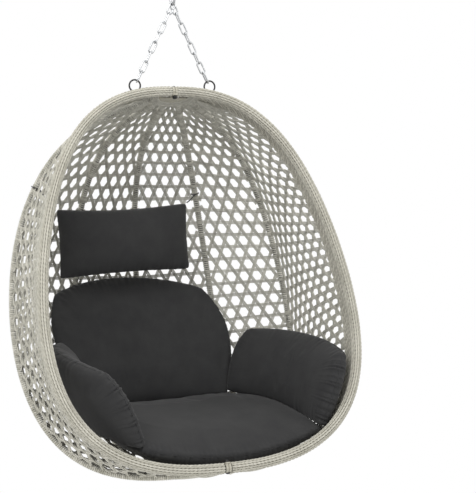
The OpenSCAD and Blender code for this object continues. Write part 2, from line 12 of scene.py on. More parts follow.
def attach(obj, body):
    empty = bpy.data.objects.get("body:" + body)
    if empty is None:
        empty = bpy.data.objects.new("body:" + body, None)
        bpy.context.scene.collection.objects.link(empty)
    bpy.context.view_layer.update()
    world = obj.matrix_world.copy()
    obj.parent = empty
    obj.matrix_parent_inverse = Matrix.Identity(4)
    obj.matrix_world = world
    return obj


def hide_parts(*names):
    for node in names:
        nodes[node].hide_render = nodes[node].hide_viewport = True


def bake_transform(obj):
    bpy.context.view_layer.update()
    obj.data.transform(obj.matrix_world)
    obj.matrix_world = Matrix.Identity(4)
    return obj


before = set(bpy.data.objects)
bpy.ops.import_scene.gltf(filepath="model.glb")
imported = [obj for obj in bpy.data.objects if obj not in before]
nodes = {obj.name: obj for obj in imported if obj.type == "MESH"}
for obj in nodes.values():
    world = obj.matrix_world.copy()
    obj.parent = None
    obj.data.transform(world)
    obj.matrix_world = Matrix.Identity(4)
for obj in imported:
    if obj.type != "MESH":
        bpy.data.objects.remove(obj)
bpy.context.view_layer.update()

mm = 0.001
scene = bpy.context.scene
dice = random.Random(11)


# camera: the chair is seen from its left front, a little above the seat
view = dict(eye=(-1292.45, -3544.07, -700.26), target=(0, -227.4, -1100.2), focal=1219.5,
            centre=(199.56, 272.44), frameSize=(476, 493))
camData = bpy.data.cameras.new("camera")
camera = bpy.data.objects.new("camera", camData)
scene.collection.objects.link(camera)
scene.camera = camera
camera.location = Vector(view["eye"]) * mm
aim = Vector(view["target"]) - Vector(view["eye"])
camera.rotation_euler = aim.to_track_quat("-Z", "Y").to_euler()
longSide = max(view["frameSize"])
camData.sensor_width = 36
camData.lens = view["focal"] * camData.sensor_width / longSide
camData.shift_x = (view["frameSize"][0] / 2 - view["centre"][0]) / longSide
camData.shift_y = (view["centre"][1] - view["frameSize"][1] / 2) / longSide
camData.clip_end = 50


# materials
def colour(hexText):  # sRGB hex to linear
    parts = [int(hexText[i:i + 2], 16) / 255 for i in (0, 2, 4)]
    return tuple(p / 12.92 if p <= 0.04045 else ((p + 0.055) / 1.055) ** 2.4 for p in parts) + (1,)


def addNode(tree, kind, settings=None, links=None):  # one node, its settings and what feeds its inputs
    node = tree.nodes.new("ShaderNode" + kind)
    for name, value in (settings or {}).items():
        if isinstance(name, int) or name in node.inputs:
            node.inputs[name].default_value = value
        else:
            setattr(node, name, value)
    for name, source in (links or {}).items():
        tree.links.new(source, node.inputs[name])
    return node


def newMaterial(name):
    made = bpy.data.materials.new(name)
    made.use_nodes = True
    tree = made.node_tree
    return made, tree, tree.nodes["Principled BSDF"]


hollowMid = (0, -0.143, -1.06)  # middle of the basket's hollow; weave faces turned towards it get painted shade


def rattanMaterial(name, light, dark, inner, innerShadedDark):
    # extruded resin rattan, twisted while warm: matt, with faint lengthwise streaks and uneven tone;
    # painted shade, darker and greyer, on the side that faces the hollow
    made, tree, shader = newMaterial(name)
    place = addNode(tree, "TexCoord")
    streaks = addNode(tree, "TexNoise", {"Scale": 1 / (9 * mm), "Detail": 3, "Roughness": 0.65},
                      {"Vector": place.outputs["Object"]})
    patches = addNode(tree, "TexNoise", {"Scale": 1 / (70 * mm), "Detail": 2}, {"Vector": place.outputs["Object"]})
    island = addNode(tree, "NewGeometry")
    tone = addNode(tree, "Math", {"operation": "MULTIPLY", 1: 0.45}, {0: island.outputs["Random Per Island"]})
    streaky = addNode(tree, "Math", {"operation": "MULTIPLY_ADD", 1: 0.6},
                      {0: streaks.outputs["Fac"], 2: tone.outputs[0]})
    patchy = addNode(tree, "Math", {"operation": "MULTIPLY_ADD", 1: 0.5},
                     {0: patches.outputs["Fac"], 2: streaky.outputs[0]})
    spread = addNode(tree, "MapRange", {"From Min": 0.45, "From Max": 1.1}, {"Value": patchy.outputs[0]})
    outer = addNode(tree, "Mix", {"data_type": "RGBA", 6: colour(dark), 7: colour(light)},
                    {0: spread.outputs["Result"]})
    # painted shade: the inner colours, for faces turned to the hollow
    inside = addNode(tree, "Mix", {"data_type": "RGBA", 6: colour(innerShadedDark), 7: colour(inner)},
                     {0: spread.outputs["Result"]})
    away = addNode(tree, "VectorMath", {"operation": "SUBTRACT", 1: hollowMid}, {0: place.outputs["Object"]})
    awayUnit = addNode(tree, "VectorMath", {"operation": "NORMALIZE"}, {0: away.outputs["Vector"]})
    facing = addNode(tree, "VectorMath", {"operation": "DOT_PRODUCT"},
                     {0: awayUnit.outputs["Vector"], 1: place.outputs["Normal"]})
    outward = addNode(tree, "MapRange", {"interpolation_type": "SMOOTHSTEP", "From Min": -0.45, "From Max": 0.25},
                      {"Value": facing.outputs["Value"]})
    # own tone on outward faces, painted shade on faces turned to the hollow
    both = addNode(tree, "Mix", {"data_type": "RGBA"},
                   {0: outward.outputs["Result"], 6: inside.outputs[2], 7: outer.outputs[2]})
    tree.links.new(both.outputs[2], shader.inputs["Base Color"])
    shader.inputs["Roughness"].default_value = 0.62
    shader.inputs["Specular IOR Level"].default_value = 0.35
    grain = addNode(tree, "TexNoise", {"Scale": 1 / (1.6 * mm), "Detail": 2}, {"Vector": place.outputs["Object"]})
    bump = addNode(tree, "Bump", {"Strength": 0.35, "Distance": 0.4 * mm}, {"Height": grain.outputs["Fac"]})
    tree.links.new(bump.outputs["Normal"], shader.inputs["Normal"])
    return made


# each rattan's last two colours are painted shade for faces turned to the hollow
rattanPale = rattanMaterial("twistedResinRattan", "dfdcd1", "afad9f", "d6d4ca", "a5a399")
rattanGrey = rattanMaterial("twistedResinRattanGrey", "b5b2a5", "7f7c70", "98958b", "6b685f")
rattanWarm = rattanMaterial("twistedResinRattanWarm", "cec7ba", "989184", "b0a99d", "7d766c")
# the band's rope: one pale strand and one strand in painted shade, of the same rattan, over a core sheet and sleeve
# whose darker mid tone is painted shade between the rows
bandLight = rattanMaterial("twinedRattanLight", "d6d3c7", "aeab9d", "d2cfc3", "a9a69a")
bandShade = rattanMaterial("twinedRattanShade", "8e8b7e", "66635a", "8c897f", "66635a")
bandShadeCore = rattanMaterial("bandedRattanShadeCore", "b3b0a3", "8d8a7e", "a9a69a", "85827a")


def fabricMaterial(name, light, dark, threadPitch=2.4):
    # dyed polyester: fine plain weave, drawn coarser than real so that it shows, soft sheen, slightly uneven dye
    made, tree, shader = newMaterial(name)
    place = addNode(tree, "TexCoord")
    mottle = addNode(tree, "TexNoise", {"Scale": 1 / (55 * mm), "Detail": 4}, {"Vector": place.outputs["Object"]})
    threads = [addNode(tree, "TexWave", {"Scale": 1 / (threadPitch * mm) / 20, "bands_direction": axis,
                                         "Distortion": 0.6, "Detail Scale": 6.0},
                       {"Vector": place.outputs["Object"]}) for axis in "XZ"]
    plain = addNode(tree, "Math", {"operation": "MULTIPLY"}, {0: threads[0].outputs["Fac"], 1: threads[1].outputs["Fac"]})
    lint = addNode(tree, "TexNoise", {"Scale": 1 / (1.1 * mm), "Detail": 2}, {"Vector": place.outputs["Object"]})
    fine = addNode(tree, "Math", {"operation": "MULTIPLY_ADD", 1: 0.5},
                   {0: lint.outputs["Fac"], 2: mottle.outputs["Fac"]})
    tone = addNode(tree, "MapRange", {"From Min": 0.45, "From Max": 1.05}, {"Value": fine.outputs[0]})
    dye = addNode(tree, "Mix", {"data_type": "RGBA", 6: colour(dark), 7: colour(light)}, {0: tone.outputs["Result"]})
    tree.links.new(dye.outputs[2], shader.inputs["Base Color"])
    shader.inputs["Roughness"].default_value = 0.82
    shader.inputs["Specular IOR Level"].default_value = 0.3
    shader.inputs["Sheen Weight"].default_value = 0.12
    shader.inputs["Sheen Roughness"].default_value = 0.45
    height = addNode(tree, "Math", {"operation": "MULTIPLY_ADD", 1: 0.6}, {0: plain.outputs[0], 2: lint.outputs["Fac"]})
    bump = addNode(tree, "Bump", {"Strength": 0.25, "Distance": 0.5 * mm}, {"Height": height.outputs[0]})
    tree.links.new(bump.outputs["Normal"], shader.inputs["Normal"])
    return made


charcoalCanvas = fabricMaterial("charcoalPolyesterCanvas", "363636", "2a2a2b")  # cushion covers over fibre filling
seamCord = fabricMaterial("charcoalSeamPiping", "303031", "252526")


def steelMaterial(name, light, dark, metallic, roughness, speckMm):
    made, tree, shader = newMaterial(name)
    place = addNode(tree, "TexCoord")
    cloud = addNode(tree, "TexNoise", {"Scale": 1 / (speckMm * mm), "Detail": 4}, {"Vector": place.outputs["Object"]})
    even = addNode(tree, "MapRange", {"From Min": 0.3, "From Max": 0.7}, {"Value": cloud.outputs["Fac"]})
    finish = addNode(tree, "Mix", {"data_type": "RGBA", 6: colour(dark), 7: colour(light)}, {0: even.outputs["Result"]})
    tree.links.new(finish.outputs[2], shader.inputs["Base Color"])
    shader.inputs["Metallic"].default_value = metallic
    rough = addNode(tree, "MapRange", {"To Min": roughness * 0.8, "To Max": roughness * 1.25},
                    {"Value": cloud.outputs["Fac"]})
    tree.links.new(rough.outputs["Result"], shader.inputs["Roughness"])
    fine = addNode(tree, "TexNoise", {"Scale": 1 / (0.8 * mm), "Detail": 2}, {"Vector": place.outputs["Object"]})
    bump = addNode(tree, "Bump", {"Strength": 0.15, "Distance": 0.15 * mm}, {"Height": fine.outputs["Fac"]})
    tree.links.new(bump.outputs["Normal"], shader.inputs["Normal"])
    return made


zincSteel = steelMaterial("zincPlatedSteel", "d4d5d6", "a6a8aa", 1.0, 0.32, 14)  # bright dip: cloudy grey sheen
blackSteel = steelMaterial("blackPowderCoat", "1b1b1c", "101011", 0.0, 0.42, 3)  # satin powder coat with fine orange peel
collarPaint = steelMaterial("greigePowderCoat", "bdb9ab", "a5a192", 0.0, 0.5, 5)  # powder coat matched to the rattan
elasticCord = fabricMaterial("blackElasticCord", "1c1c1d", "0e0e0f")  # braided cover: dull black, faintly ribbed


def setMaterial(target, *materials):
    target.data.materials.clear()
    for item in materials:
        target.data.materials.append(item)


zincNodes = ["top_quick_link", "top_link_nut", "lower_quick_link", "lower_link_nut", "chain_end_links",
             "chain_left", "chain_right", "spring"]
for name, node in nodes.items():
    if name in zincNodes:
        setMaterial(node, zincSteel)
    elif name.endswith(("_collar", "_rib_plate")):
        setMaterial(node, collarPaint)
    else:
        setMaterial(node, blackSteel)


# the basket's curves, in millimetres from where the chair hangs
basket = dict(height=1150, lean=22, lowPole=(0, -442.792, -1633.29), turns=(-90, -47.5, -24.5, 0, 24.5, 47.5, 90),
              reaches=(500, 650, 575, 590, 575, 650, 500), egg=0.15, fullness=0.06, weaveStart=80)
leanRad = math.radians(basket["lean"])
axisDir = np.array([0, math.sin(leanRad), math.cos(leanRad)])
lowPole = np.array(basket["lowPole"], float)


def outDir(k):
    turn = math.radians(basket["turns"][k])
    return np.array([math.sin(turn), math.cos(turn) * math.cos(leanRad), -math.cos(turn) * math.sin(leanRad)])


def reachAt(k, t):
    away = 1 - math.cos(math.radians(basket["turns"][k]))
    blunt = 0.6 + 0.2 * away
    shape = 1 + basket["egg"] * away * np.cos(t) + basket["fullness"] * away * np.cos(2 * t)
    return basket["reaches"][k] * np.sin(t) ** blunt * shape


def onCurve(k, t):
    t = np.asarray(t, float)[..., None]
    return lowPole + basket["height"] / 2 * (1 - np.cos(t)) * axisDir + reachAt(k, t) * outDir(k)


def unit(v):
    return v / np.linalg.norm(v, axis=-1, keepdims=True)


railSteps = np.linspace(math.pi - 1e-4, 1e-4, 2400)  # from the top pole down
railLength = []
railShare = []
for k in range(7):
    line = onCurve(k, railSteps)
    run = np.concatenate([[0], np.cumsum(np.linalg.norm(np.diff(line, axis=0), axis=1))])
    railLength.append(run[-1])
    railShare.append(run / run[-1])


def angleAt(k, share):  # curve angle at a share of the curve's length from the top
    return np.interp(share, railShare[k], railSteps)


def weaveShares(k):  # shares at which the weave starts and ends, a set distance from the axis
    reach = reachAt(k, railSteps)
    woven = railShare[k][reach > basket["weaveStart"]]
    return woven[0], woven[-1]


def tangentAt(k, t):
    return unit(onCurve(k, t + 1e-3) - onCurve(k, t - 1e-3))


def tubesFrom(name, runs, radius, sides, materials, cyclic=False):
    # round strands along runs of points in mm: each run is (points, material number)
    curve = bpy.data.curves.new(name + "Line", "CURVE")
    curve.dimensions = "3D"
    curve.bevel_depth = radius * mm
    curve.bevel_resolution = (sides - 4) // 2
    curve.use_fill_caps = True
    curve.twist_mode = "MINIMUM"
    for points, number in runs:
        spline = curve.splines.new("POLY")
        spline.points.add(len(points) - 1)
        flat = np.ones((len(points), 4))
        flat[:, :3] = points * mm
        spline.points.foreach_set("co", flat.ravel())
        spline.use_cyclic_u = cyclic
        spline.use_smooth = True
        spline.material_index = number
    for item in materials:
        curve.materials.append(item)
    line = bpy.data.objects.new(name + "Line", curve)
    scene.collection.objects.link(line)
    made = bpy.data.meshes.new_from_object(line.evaluated_get(bpy.context.evaluated_depsgraph_get()))
    bpy.data.objects.remove(line)
    piece = bpy.data.objects.new(name, made)
    scene.collection.objects.link(piece)
    made.polygons.foreach_set("use_smooth", [True] * len(made.polygons))
    return piece


# cords of the head pillow come first
pillow = dict(mid=(-107, 600, 605), turn=6, width=452, height=212, half=50, cordRadius=2)
pillowTurn = math.radians(pillow["turn"])


def pillowPlace(x, y, z):
    c, s = math.cos(pillowTurn), math.sin(pillowTurn)
    return lowPole + np.array(pillow["mid"], float) + np.array([x * c - y * s, x * s + y * c, z])


def pillowCorner(u):
    return pillowPlace(u * (pillow["width"] / 2 + pillow["cordRadius"] + 0.3) - 0.025 * pillow["height"], 0,
                       pillow["height"] / 2 + 0.01 * u * pillow["width"])


print("camera, materials and curves done")


def smoothRun(points, parts):  # a smooth run through given points, parts steps between each pair
    p = np.asarray(points, float)
    ends = np.vstack([2 * p[0] - p[1], p, 2 * p[-1] - p[-2]])
    steps = np.arange(parts) / parts
    run = []
    for i in range(len(p) - 1):
        a, b, c, d = ends[i:i + 4]
        for s in steps:
            run.append(0.5 * (2 * b + (c - a) * s + (2 * a - 5 * b + 4 * c - d) * s ** 2
                              + (3 * b - a - 3 * c + d) * s ** 3))
    return np.array(run + [p[-1]])


hooks = dict(right=(4, 15, 1), left=(1, 15, -1))  # rib, step along it, pillow corner
hookSize = dict(wire=3.6, ferrule=12, wrapRadius=11, clearance=0.3)
weaveCount = 22


def weaveAngle(k, step):  # same steps along a rib as the solid's
    away = 1 - math.cos(math.radians(basket["turns"][k]))
    blunt = 0.6 + 0.2 * away
    egg, full = basket["egg"] * away, basket["fullness"] * away
    low = math.asin((basket["weaveStart"] / (basket["reaches"][k] * (1 + egg + full))) ** (1 / blunt))
    high = math.pi - math.asin((basket["weaveStart"] / (basket["reaches"][k] * (1 - egg + full))) ** (1 / blunt))
    u = step / weaveCount
    even = (2 * u) ** 1.5 / 2 if u < 0.5 else 1 - (2 - 2 * u) ** 1.5 / 2
    return low + (high - low) * even


for side, (k, step, corner) in hooks.items():
    around = [onCurve(k, weaveAngle(k, step + i)) for i in (-1, 0, 1)]
    along = unit(around[2] - around[0])
    end = pillowCorner(corner)
    pull = end - around[1]
    pull = unit(pull - np.dot(pull, along) * along)
    mid = hookSize["wrapRadius"] + hookSize["clearance"] + hookSize["wire"] / 2
    first = around[1] + (mid + hookSize["wire"] + hookSize["clearance"]) * pull
    second = around[1] + (mid + hookSize["ferrule"] + 2) * pull
    drop = np.array([0, 0, 2])
    reach = end - second
    route = smoothRun([first, second, second + 0.3 * reach - drop, second + 0.65 * reach - drop, end], 5)
    cordPiece = tubesFrom("pillow_cord_" + side, [(route, 0)], pillow["cordRadius"], 8, [elasticCord])
    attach(cordPiece, "basket")
    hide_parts("pillow_cords")
print("pillow cords done")


# spring: one wire, hairpin hook, close coil and round lower hook
spring = dict(wire=8, coilRadius=20, turns=5, pitch=8.5, hookTop=-71.6, hookRise=61, hairpin=9, hookDrop=54,
              tipRise=38, coilStart=100, coilEnd=30)
coilTop = spring["hookTop"] - spring["hookRise"]
coilRun = spring["turns"] + (spring["coilStart"] - spring["coilEnd"]) / 360
coilLow = coilTop - spring["pitch"] * coilRun
hookLow = coilLow - spring["hookDrop"]
hairpinMid = spring["hookTop"] - spring["hairpin"]
arcMid = hookLow + spring["coilRadius"]
hp, cr = spring["hairpin"], spring["coilRadius"]
route = [(26, 0, hairpinMid - 47), (19, 0, hairpinMid - 42), (13, 0, hairpinMid - 35), (9.8, 0, hairpinMid - 26)]
route += [(hp * math.cos(math.radians(a)), 0, hairpinMid + hp * math.sin(math.radians(a))) for a in range(0, 181, 30)]
route += [(-hp, 0, coilTop + 26), (-hp, 0, coilTop + 16), (-hp, 2.5, coilTop + 8.5), (-9, 8, coilTop + 3.5),
          (-7, 14, coilTop + 1)]
for i in range(int(coilRun * 8) + 1):
    a = math.radians(spring["coilStart"] - 45 * i)
    route.append((cr * math.cos(a), cr * math.sin(a), coilTop - spring["pitch"] * i / 8))
route += [(cr - 1, 4.5, coilLow - 3.5), (cr, 1.2, coilLow - 9.5), (cr, 0, coilLow - 18)]
route += [(cr * math.cos(math.radians(a)), 0, arcMid + cr * math.sin(math.radians(a)))
          for a in (0, -22.5, -45, -67.5, -90, -112.5, -135, -157.5, -180)]
route += [(-cr, 0, hookLow + spring["tipRise"] - spring["wire"] / 2)]
springPiece = tubesFrom("spring_wire", [(smoothRun(route, 4), 0)], spring["wire"] / 2, 12, [zincSteel])
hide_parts("spring")
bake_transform(springPiece)
print("spring done")


# woven panels: open three-way weave of threefold strands between the ribs
weave = dict(pitch=44, rowSpacing=45, radius=1.7, apart=3.6, lift=1.6, step=9.5, edge=11.3,
             sagBack=8, sagSide=18, tailDepth=65, bulb=15.5, fan=(1.0, 0.42, 0.09, 0, 0.09, 0.42, 1.0),
             fanShare=0.12, ease=1.5)
rattans = [rattanPale, rattanGrey, rattanWarm]
rowTotal = railLength[3] / weave["rowSpacing"]


def shareOfRow(k, row):  # where a row crosses curve k
    s = np.asarray(row, float) / rowTotal
    c = weave["fan"][k] * weave["fanShare"]
    top, low = np.clip(2 * s, 0, 2), np.clip(2 * (1 - s), 0, 2)
    share = np.where(s < 0.5, s + c * (1 - top ** weave["ease"]), s - c * (1 - low ** weave["ease"]))
    first, last = weaveShares(k)
    return np.clip(share, first, last)


def tailLength(k, t):
    room = reachAt(k, t) * math.cos(math.radians(47.5)) - 24
    return np.maximum(weave["bulb"] + 3, np.minimum(weave["tailDepth"], room))


def tailDir(k, t, along):
    v = onCurve(1 if k == 0 else 5, t) - onCurve(k, t)
    return unit(v - np.sum(v * along, -1, keepdims=True) * along)


def panelEdges(k, row):
    found = []
    for curve, other in ((k, k + 1), (k + 1, k)):
        t = angleAt(curve, shareOfRow(curve, row))
        p, along = onCurve(curve, t), tangentAt(curve, t)
        if curve in (0, 6):
            found.append((p + (tailLength(curve, t)[:, None] + 0.3) * tailDir(curve, t, along), along))
        else:
            v = onCurve(other, angleAt(other, shareOfRow(other, row))) - p
            found.append((p + weave["edge"] * unit(v - np.sum(v * along, -1, keepdims=True) * along), along))
    return found


def panelRows(k):  # rows over which both curves carry the weave
    rows = np.linspace(-0.1 * rowTotal, 1.1 * rowTotal, 2000)
    firsts, lasts = [], []
    for curve in (k, k + 1):
        share = shareOfRow(curve, rows)
        inner = rows[(share > share.min()) & (share < share.max())]
        firsts.append(inner[0])
        lasts.append(inner[-1])
    return min(firsts), max(lasts)


class Panel:
    def __init__(self, k):
        self.first, self.last = panelRows(k)
        self.rows = np.linspace(self.first, self.last, 600)
        (self.a, alongA), (self.b, alongB) = panelEdges(k, self.rows)
        across = unit(self.b - self.a)
        self.inward = unit(np.cross(across, unit(alongA + alongB)))
        self.width = np.linalg.norm(self.b - self.a, axis=1)
        self.pitch = weave["pitch"] * np.minimum(1, (self.width / 230) ** 0.5)
        self.sag = weave["sagSide"] if k in (0, 5) else weave["sagBack"]

    def at(self, x, row, lift):
        pick = lambda table: np.stack([np.interp(row, self.rows, table[:, i]) for i in range(3)], 1)
        share = 0.5 + x * np.interp(row, self.rows, self.pitch) / np.interp(row, self.rows, self.width)
        v = (row - self.first) / (self.last - self.first)
        depth = self.sag * np.sin(np.pi * np.clip(v, 0, 1)) * np.sin(np.pi * np.clip(share, 0, 1)) - lift
        start, end, inward = pick(self.a), pick(self.b), pick(self.inward)
        return start + (end - start) * share[:, None] + depth[:, None] * inward, inward

    def half(self, row):
        return (np.interp(row, self.rows, self.width) + 5) / np.interp(row, self.rows, self.pitch) / 2


def strandTone():  # pale, grey and warm strands as 5 to 3 to 2
    return dice.choices((0, 1, 2), (5, 3, 2))[0]


def threefold(points, normals):  # three strands side by side
    along = np.gradient(points, axis=0)
    sideways = unit(np.cross(along, normals)) * weave["apart"]
    return [(points + place * sideways, strandTone()) for place in (-1, 0, 1)]


panelNames = ["panel_left_side", "panel_left_mid", "panel_left_back", "panel_right_back", "panel_right_mid",
              "panel_right_side"]
for k, name in enumerate(panelNames):
    panel = Panel(k)
    runs = []
    rowsHere = [panel.first] + list(range(math.ceil(panel.first + 0.3), math.floor(panel.last - 0.3) + 1)) + [panel.last]
    for row in rowsHere:
        half = float(panel.half(row))
        x = np.arange(-half, half, weave["step"] / weave["pitch"])
        x = np.append(x, half)
        lift = weave["lift"] * np.cos(2 * np.pi * (x - 0.25 - row / 2))
        points, inward = panel.at(x, np.full(len(x), row), lift)
        runs += threefold(points, inward)
    fine = np.arange(panel.first, panel.last, weave["step"] * 0.9 / weave["rowSpacing"])
    reach = int(panel.half(fine).max() + rowTotal) + 2
    for slant, offset in ((0.5, 0.25), (-0.5, 0.75)):
        for m in range(-reach, reach):
            x = offset + slant * fine + m
            inside = np.abs(x) <= panel.half(fine)
            cuts = np.flatnonzero(np.diff(np.concatenate([[0], inside.astype(int), [0]])))
            for start, stop in zip(cuts[::2], cuts[1::2]):
                if stop - start < 4:
                    continue
                rows = fine[start:stop]
                lift = (-1 if slant > 0 else 1) * weave["lift"] * np.cos(2 * np.pi * rows)
                points, inward = panel.at(x[start:stop], rows, lift)
                runs += threefold(points, inward)
    woven = tubesFrom(name.replace("panel", "weave"), runs, weave["radius"], 6, rattans)
    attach(woven, "basket")
    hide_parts(name)
print("woven panels done")


# ribs: each rod wound edge to edge, with the rows' loops over the winding
# tones: weights of pale, grey, warm and painted-shade strands in the winding
winding = dict(strand=3.3, centre=7.7, pitch=6.8, points=9, tones=(6, 3, 3, 1), loopRadius=11.4)
ribNames = {1: "left_outer", 2: "left_inner", 3: "spine", 4: "right_inner", 5: "right_outer"}
for k, name in ribNames.items():
    first, last = weaveShares(k)
    length = (last - first) * railLength[k]
    turns = int(length / winding["pitch"])
    runs = []
    spin = np.arange(turns * winding["points"] + 1)
    share = first + (last - first) * spin / spin[-1]
    t = angleAt(k, share)
    p, along = onCurve(k, t), tangentAt(k, t)
    sideDir = unit(np.cross(axisDir, outDir(k)))
    out = unit(np.cross(sideDir, along))
    angle = 2 * np.pi * spin[:, None] / winding["points"]
    helix = p + winding["centre"] * (np.cos(angle) * out + np.sin(angle) * sideDir)
    for i in range(turns):
        turnPoints = helix[i * winding["points"]:(i + 1) * winding["points"] + 2]
        runs.append((turnPoints, dice.choices((0, 1, 2, 3), winding["tones"])[0]))
    wound = tubesFrom("winding_" + name, runs, winding["strand"], 6, rattans + [bandShade])
    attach(wound, "basket")
    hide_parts("wrap_" + name)
    loops = []
    for row in range(1, int(rowTotal)):
        at = float(shareOfRow(k, row))
        if not first + 0.01 < at < last - 0.01:
            continue
        for nudge in (-weave["apart"], 0, weave["apart"]):
            t = float(angleAt(k, at + nudge / railLength[k]))
            p, along = onCurve(k, t), tangentAt(k, t)
            out = unit(np.cross(sideDir, along))
            ring = np.linspace(0.55 * np.pi, 1.45 * np.pi, 10)[:, None]  # over the side that faces the hollow
            loops.append((p + winding["loopRadius"] * (np.cos(ring) * out + np.sin(ring) * sideDir), strandTone()))
    looped = tubesFrom("row_loops_" + name, loops, weave["radius"], 6, rattans)
    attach(looped, "basket")
print("ribs done")


# weave that goes on over the rib ends, in arcs around the top pole
poleArcs = dict(start=51, rows=6, gap=4.6, over=15.6, spread=176, radius=1.9)
arcs = []
topPole = lowPole + basket["height"] * axisDir
for i in range(poleArcs["rows"]):
    r = poleArcs["start"] + poleArcs["gap"] * i
    turn = np.radians(np.linspace(-poleArcs["spread"] / 2, poleArcs["spread"] / 2, 40))[:, None]
    dip = 0.8 * np.cos(turn * 360 / 24.5 + math.pi * i)
    arcs.append((topPole + r * (np.cos(turn) * outDir(3) + np.sin(turn) * np.array([1, 0, 0]))
                 - (poleArcs["over"] - dip) * axisDir, strandTone()))
arc = tubesFrom("pole_weave", arcs, poleArcs["radius"], 6, rattans)
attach(arc, "basket")
print("pole weave done")


# twined band: rows of two-strand rope on a flat tail, and finer rows around the ring tube
band = dict(rowGap=9, rope=2.5, turn=2.4, ropePitch=26, bulbRows=12, bulbCentre=12.9, bulbRope=2.1, bulbTurn=1.3,
            bulbPitch=24, step=4, coreThick=2, coreStart=11, sleeve=11.7, shift=2.0)
bandTones = [bandLight, bandShade]


def ropeRuns(k, across, out, share, turn, pitch, phase):
    # two strands round a line at (across, out) from the ring's centre line
    t = angleAt(k, share)
    p, along = onCurve(k, t), tangentAt(k, t)
    d = tailDir(k, t, along)
    m = np.cross(along, d)
    line = p + across[:, None] * d + out * m
    run = np.concatenate([[0], np.cumsum(np.linalg.norm(np.diff(line, axis=0), axis=1))])
    made = []
    for half in (0, np.pi):
        angle = (2 * np.pi * run / pitch + phase + half)[:, None]
        made.append(line + turn * (np.cos(angle) * d + np.sin(angle) * m))
    return made


for k, side in ((0, "left"), (6, "right")):
    hand = 1 if k == 0 else -1
    inset = 8.3 / railLength[k]
    share = np.arange(inset, 1 - inset, band["step"] / railLength[k])
    t = angleAt(k, share)
    depth = tailLength(k, t)
    tails, bulbs = [], []
    rows = int((weave["tailDepth"] - weave["bulb"]) / band["rowGap"])
    for j in range(rows + 1):
        across = weave["bulb"] + 3 + j * (weave["tailDepth"] - weave["bulb"] - 4) / rows
        inside = depth > across - 4
        cuts = np.flatnonzero(np.diff(np.concatenate([[0], inside.astype(int), [0]])))
        for start, stop in zip(cuts[::2], cuts[1::2]):
            part = share[start:stop]
            for tone, points in enumerate(ropeRuns(k, np.full(len(part), across), 0, part, band["turn"],
                                                   hand * band["ropePitch"], band["shift"] * j)):
                tails.append((points, tone))
    for j in range(band["bulbRows"]):
        angle = 2 * math.pi * (j + 0.5) / band["bulbRows"] + 0.24
        if math.cos(angle) > 0.88:  # this row would lie inside the band's tail
            continue
        across = np.full(len(share), band["bulbCentre"] * math.cos(angle))
        for tone, points in enumerate(ropeRuns(k, across, band["bulbCentre"] * math.sin(angle), share,
                                               band["bulbTurn"], hand * band["bulbPitch"], band["shift"] * j)):
            bulbs.append((points, tone))
    tail = tubesFrom("twined_band_" + side, tails, band["rope"], 6, bandTones)
    rim = tubesFrom("twined_rim_" + side, bulbs, band["bulbRope"], 6, bandTones)
    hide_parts("band_" + side)
    p, along = onCurve(k, t), tangentAt(k, t)
    d = tailDir(k, t, along)
    # core sheet under the tail rows: blocks light, and its darker tone is painted shade between the rows
    coreMesh = bmesh.new()
    loops = []
    for offset in (np.full(len(t), band["coreStart"]), depth - 2):
        verts = [coreMesh.verts.new(q * mm) for q in (p + offset[:, None] * d)[::5]]
        loops += [coreMesh.edges.new(pair) for pair in zip(verts, verts[1:])]
    bmesh.ops.bridge_loops(coreMesh, edges=loops)
    bmesh.ops.recalc_face_normals(coreMesh, faces=coreMesh.faces)
    bmesh.ops.solidify(coreMesh, geom=coreMesh.faces[:], thickness=band["coreThick"] * mm)
    mesh = bpy.data.meshes.new("band_core_" + side)
    coreMesh.to_mesh(mesh)
    coreMesh.free()
    core = bpy.data.objects.new("band_core_" + side, mesh)
    scene.collection.objects.link(core)
    setMaterial(core, bandShadeCore)
    # sleeve over the ring tube: its darker tone is painted shade in the gaps between rope rows
    under = tubesFrom("rim_core_" + side, [(p, 0)], band["sleeve"], 16, [bandShadeCore])
    for piece in (tail, rim, core, under):
        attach(piece, "basket")
print("twined band done")


# cushions: filled forms, puffed by a short cloth simulation, then gathered along their seams
cushions = dict(setTurn=4, drift=0.1, pivotY=300, start=0.86, seamRadius=0.9, pinned=9, calm=0.3, apart=1.3)
puffing = dict(voxel=6.6, quality=4, mass=0.3, stretch=12, bend=1.2, pressure=4, frames=20)
setTurn = math.radians(cushions["setTurn"])


def setPlace(x, y, z):
    dy = y - cushions["pivotY"]
    return np.stack([x * math.cos(setTurn) - dy * (math.sin(setTurn) + cushions["drift"]),
                     cushions["pivotY"] + x * math.sin(setTurn) + dy * math.cos(setTurn), z], -1) + lowPole


def rounded(u, v, square):
    return u * np.sqrt(1 - v * v / 2 * (1 - square)), v * np.sqrt(1 - u * u / 2 * (1 - square))


def crown(u, v, power):
    return np.sqrt(np.maximum(0, (1 - np.abs(u) ** power) * (1 - np.abs(v) ** power)))


seat = dict(midY=292, half=308, depth=262, crown=46, under=62, rim=9, seamLow=22.7)


def seamZ(y, side):
    return seat["seamLow"] + 45 * np.maximum(0, y / 540) ** 1.4 + 50 * side * side


def seatPoint(face, u, v, fill):
    q = rounded(u, v, np.where(v < 0, 0.75, 0.2))
    y = seat["midY"] + seat["depth"] * q[1]
    rise = seat["crown"] if face > 0 else -seat["under"]
    return setPlace(seat["half"] * q[0] * (1 - 0.12 * np.maximum(0, q[1])), y,
                    seamZ(y, q[0]) + face * seat["rim"] + fill * rise * crown(u, v, 2.4))


back = dict(half=322, height=382, low=83.86, thick=56, rim=11, rearRim=6, flat=0.5, shift=-12, slope=0.01, press=8)


